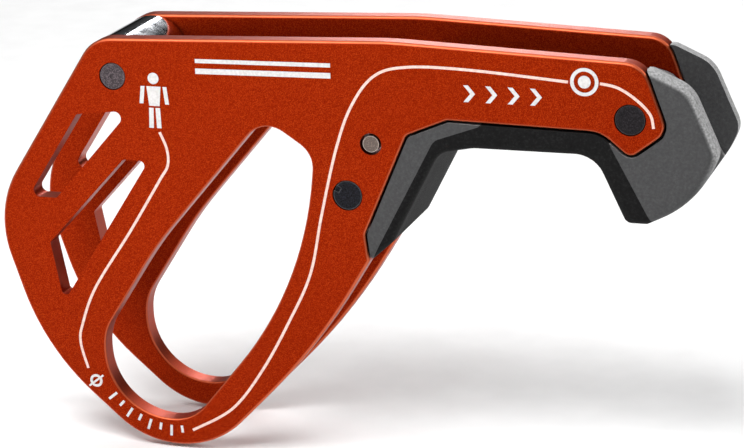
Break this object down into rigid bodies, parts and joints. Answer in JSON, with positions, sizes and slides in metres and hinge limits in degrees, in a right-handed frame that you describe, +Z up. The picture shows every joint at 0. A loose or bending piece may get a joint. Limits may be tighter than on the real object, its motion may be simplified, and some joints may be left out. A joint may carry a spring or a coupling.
{
  "type": "belay device",
  "caption": "Passive assisted-braking belay device: paired side plates with a carabiner eye and friction slots, a rope bar, a brake block and a moulded finger handle.",
  "frame": {"origin": "centre of a 13 mm carabiner bow resting in the seat, midway between the two plates", "axes": "+X along the plates towards the finger hook, +Y from the front plate to the rear plate, +Z up from the carabiner seat to the arm"},
  "size_m": [0.1077, 0.0196, 0.0635],
  "materials": {
    "orange_anodised": "satin orange anodised",
    "polished_steel": "polished",
    "rivet_steel": "dark satin",
    "grey_plastic": "fine moulded texture",
    "black_grip": "matt soft moulding"
  },
  "bodies": {
    "root": {"side_plate_front": "orange_anodised", "side_plate_rear": "orange_anodised", "rope_bar": "polished_steel", "rope_bar_rivet": "rivet_steel", "brake_block": "polished_steel", "brake_rivet": "rivet_steel", "handle_dowel": "rivet_steel", "handle_core": "grey_plastic", "finger_grip": "black_grip", "handle_sleeve": "rivet_steel", "handle_rivet": "rivet_steel"}
  },
  "joints": []
}
